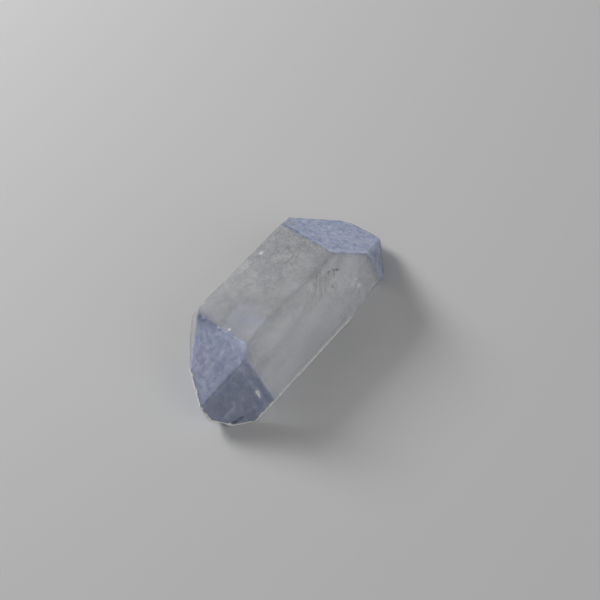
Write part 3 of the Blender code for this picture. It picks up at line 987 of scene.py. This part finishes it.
# Satin glass whose colour follows the values kept in the skin, and which lets the lamps' light pass
def quartzMaterial():
    material, tree = newMaterial("satin_quartz")
    tone, isBlue, lilac, grainy = (meshValue(tree, name) for name in ("tone", "blue", "lilac", "grainy"))
    clouds = speckle(tree, *satin["clouds"])
    grain = doubleSpeckle(tree, satin["grainSizes"])
    clear = mixed(tree, clouds, satin["cool"], satin["warm"])
    clear = mixed(tree, grainy, clear, mixed(tree, grain, satin["dusk"], satin["frost"]), "MULTIPLY")
    clear = mixed(tree, lilac, clear, satin["lilac"])
    middleBlue = tuple((a + b) / 2 for a, b in zip(satin["blueDark"], satin["bluePale"]))
    blue = mixed(tree, doubleSpeckle(tree, satin["blueSizes"]), satin["blueDark"], satin["bluePale"])
    blue = mixed(tree, grainy, middleBlue, blue)
    pale = mixed(tree, grainy, satin["pale"], mixed(tree, grain, *satin["paleGrain"]))
    colour = mixed(tree, isBlue, clear, blue)
    # Tone over 0 mixes in pale and under 0 dark: painted light and painted shade, with the marks
    colour = mixed(tree, ranged(tree, tone, 0.0, 1.0), colour, pale)
    colour = mixed(tree, ranged(tree, tone, 0.0, 1.0, 0.0, -1.0), colour, satin["dark"])
    strength, height = satin["bump"]
    bump = node(tree, "Bump", {"Height": grain, "Strength": strength, "Distance": height * mm})
    glass = node(tree, "BsdfPrincipled", {
        "Base Color": colour, "Roughness": ranged(tree, clouds, *satin["roughness"]),
        "Normal": bump.outputs["Normal"], "IOR": satin["ior"], "Transmission Weight": satin["transmission"]})
    lampWay = node(tree, "BsdfTransparent", {"Color": (satin["shadow"],) * 3})
    either = blended(tree, node(tree, "LightPath").outputs["Is Shadow Ray"], glass, lampWay)
    inside = node(tree, "VolumeAbsorption", {"Color": satin["absorbed"], "Density": satin["density"]})
    node(tree, "OutputMaterial", {"Surface": either.outputs["Shader"], "Volume": inside.outputs["Volume"]})
    return material


# A matt surface that lets a share of the light through
def mattSurface(tree, colour, look):
    surface = node(tree, "BsdfPrincipled", {"Base Color": colour, "Roughness": look["rough"],
                                            "Specular IOR Level": look["shine"]})
    return blended(tree, look["through"], surface, node(tree, "BsdfTranslucent", {"Color": colour}))


# Speckles and wisps are given as size in mm, detail and, for the wisps, low and high
felt = {"dark": (0.41, 0.47, 0.67), "pale": (0.71, 0.76, 0.87), "speckles": (0.5, 5.0), "rough": 0.85,
        "shine": 0.2, "through": 0.15}


# Matt blue felt, speckled dark and pale
def feltMaterial():
    material, tree = newMaterial("dumortierite_felt")
    colour = mixed(tree, speckle(tree, *felt["speckles"]), felt["dark"], felt["pale"])
    node(tree, "OutputMaterial", {"Surface": mattSurface(tree, colour, felt).outputs["Shader"]})
    return material


veilLook = {"colour": (0.80, 0.80, 0.82), "wisps": (1.6, 6.0, 0.38, 0.72), "most": 0.34, "rough": 0.9,
            "shine": 0.1}


# Wisps of milky white that fade towards the veils' rims
def veilMaterial():
    material, tree = newMaterial("milky_veil")
    wisps = ranged(tree, speckle(tree, *veilLook["wisps"]), 0.0, veilLook["most"])
    seen = node(tree, "Math", {0: wisps, 1: meshValue(tree, "fade")}, operation="MULTIPLY")
    surface = node(tree, "BsdfPrincipled", {
        "Base Color": veilLook["colour"], "Roughness": veilLook["rough"],
        "Specular IOR Level": veilLook["shine"], "Alpha": seen.outputs[0]})
    node(tree, "OutputMaterial", {"Surface": surface.outputs["BSDF"]})
    return material


cloudLook = {"colour": (0.96, 0.96, 0.97), "speckles": (2.4, 4.0), "least": 0.30, "most": 0.50,
             "rough": 1.0, "shine": 0.0, "through": 0.7}


# Milky white that is seen by a share between the least and the most
def cloudMaterial():
    material, tree = newMaterial("milky_cloud")
    share = ranged(tree, speckle(tree, *cloudLook["speckles"]), cloudLook["least"], cloudLook["most"])
    milky = mattSurface(tree, cloudLook["colour"], cloudLook)
    seen = blended(tree, share, node(tree, "BsdfTransparent"), milky)
    node(tree, "OutputMaterial", {"Surface": seen.outputs["Shader"]})
    return material


# Finishes without any glass: two colours in speckles of a size in mm, and roughness
plainLooks = {
    "dumortierite_needle": {"dark": (0.14, 0.19, 0.42), "pale": (0.7, 0.76, 0.95), "size": 0.4, "rough": 0.5},
    "bubble_wall": {"dark": (0.45, 0.47, 0.50), "pale": (0.95, 0.95, 0.96), "size": 1.1, "rough": 0.25},
    # The rims' white stands for wear and for a painted highlight of the edges catching light
    "worn_edge_and_highlight": {"dark": (0.80, 0.80, 0.81), "pale": (0.98, 0.98, 0.98), "size": 0.25, "rough": 0.55},
    "white_inclusion": {"dark": (0.82, 0.83, 0.84), "pale": (0.97, 0.97, 0.97), "size": 0.3, "rough": 0.6},
    "pale_floor": {"dark": (0.70, 0.70, 0.70), "pale": (0.70, 0.70, 0.70), "size": 9.0, "rough": 0.9},
}


# One of these finishes, speckled dark and pale
def plainMaterial(name):
    material, tree = newMaterial(name)
    look = plainLooks[name]
    colour = mixed(tree, speckle(tree, look["size"], 2.0, 0.40, 0.60), look["dark"], look["pale"])
    surface = node(tree, "BsdfPrincipled", {"Base Color": colour, "Roughness": look["rough"]})
    node(tree, "OutputMaterial", {"Surface": surface.outputs["BSDF"]})
    return material


feltLook = feltMaterial()
for piece, look in ((quartz, quartzMaterial()), (quartz, plainMaterial("worn_edge_and_highlight")),
                    (blueZones[0], feltLook), (blueZones[1], feltLook), (milkyVeils, veilMaterial()),
                    (milkyCloud, cloudMaterial()), (blueNeedles, plainMaterial("dumortierite_needle")),
                    (fluidBubbles, plainMaterial("bubble_wall")),
                    (whiteGrains, plainMaterial("white_inclusion"))):
    piece.data.materials.append(look)
print("materials made")

# A plain floor, soft square lamps, and a camera that looks as the photo's did
studio = {
    "floorHalf": 600.0, "floorLevel": -0.02,        # mm
    "viewRight": (0.6262, -0.7698, -0.1233), "viewUp": (0.6601, 0.4393, 0.6093),
    "viewBack": (-0.4148, -0.4629, 0.7833),
    "offset": (1.947, 0.195, 117.6),        # mm, camera from the growth point, in those directions
    "lens": 83.0, "nearest": 2.0,           # mm
    "world": 0.20,
    # Each lamp's way from the origin, its distance and size in mm, and its power
    "lights": (((0.02, 0.88, 0.50), 260.0, 90.0, 0.465), ((0.0, -0.85, 0.5), 300.0, 220.0, 0.158),
               ((-0.9, -0.1, 0.4), 300.0, 220.0, 0.012)),
}


# The floor, the lamps, which face the origin, and an even light all round
def makeStage():
    half = studio["floorHalf"]
    mesh = bpy.data.meshes.new("floor")
    around = ((-half, -half), (half, -half), (half, half), (-half, half))
    mesh.from_pydata([(x * mm, y * mm, studio["floorLevel"] * mm) for x, y in around], [], [(0, 1, 2, 3)])
    mesh.materials.append(plainMaterial("pale_floor"))
    floor = placed("floor", mesh)

    for index, (way, distance, size, power) in enumerate(studio["lights"]):
        data = bpy.data.lights.new("soft_light_%d" % index, "AREA")
        data.size = size * mm
        data.energy = power
        lamp = placed(data.name, data)
        way = Vector(way).normalized()
        lamp.location = way * distance * mm
        lamp.rotation_euler = way.to_track_quat("Z", "Y").to_euler()

    world = bpy.data.worlds.new("studio")
    world.use_nodes = True
    world.node_tree.nodes["Background"].inputs["Color"].default_value = (1, 1, 1, 1)
    world.node_tree.nodes["Background"].inputs["Strength"].default_value = studio["world"]
    bpy.context.scene.world = world
    bpy.context.scene.view_settings.view_transform = "Standard"


# The camera stands at growth point + the sum of offset * direction, and its axes are those directions
def makeCamera():
    right, up, back = (np.array(studio[k]) for k in ("viewRight", "viewUp", "viewBack"))
    data = bpy.data.cameras.new("camera")
    data.lens = studio["lens"]
    data.clip_start = studio["nearest"] * mm
    camera = placed("camera", data)
    turn = Matrix(np.stack((right, up, back), axis=1).tolist()).to_4x4()
    turn.translation = (growth + sum(o * v for o, v in zip(studio["offset"], (right, up, back)))) * mm
    camera.matrix_world = turn
    bpy.context.scene.camera = camera


makeStage()
makeCamera()
print("stage and camera made")

for piece in (quartz, *blueZones, milkyVeils, milkyCloud, blueNeedles, fluidBubbles, whiteGrains):
    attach(piece, "root")
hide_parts("crystal")
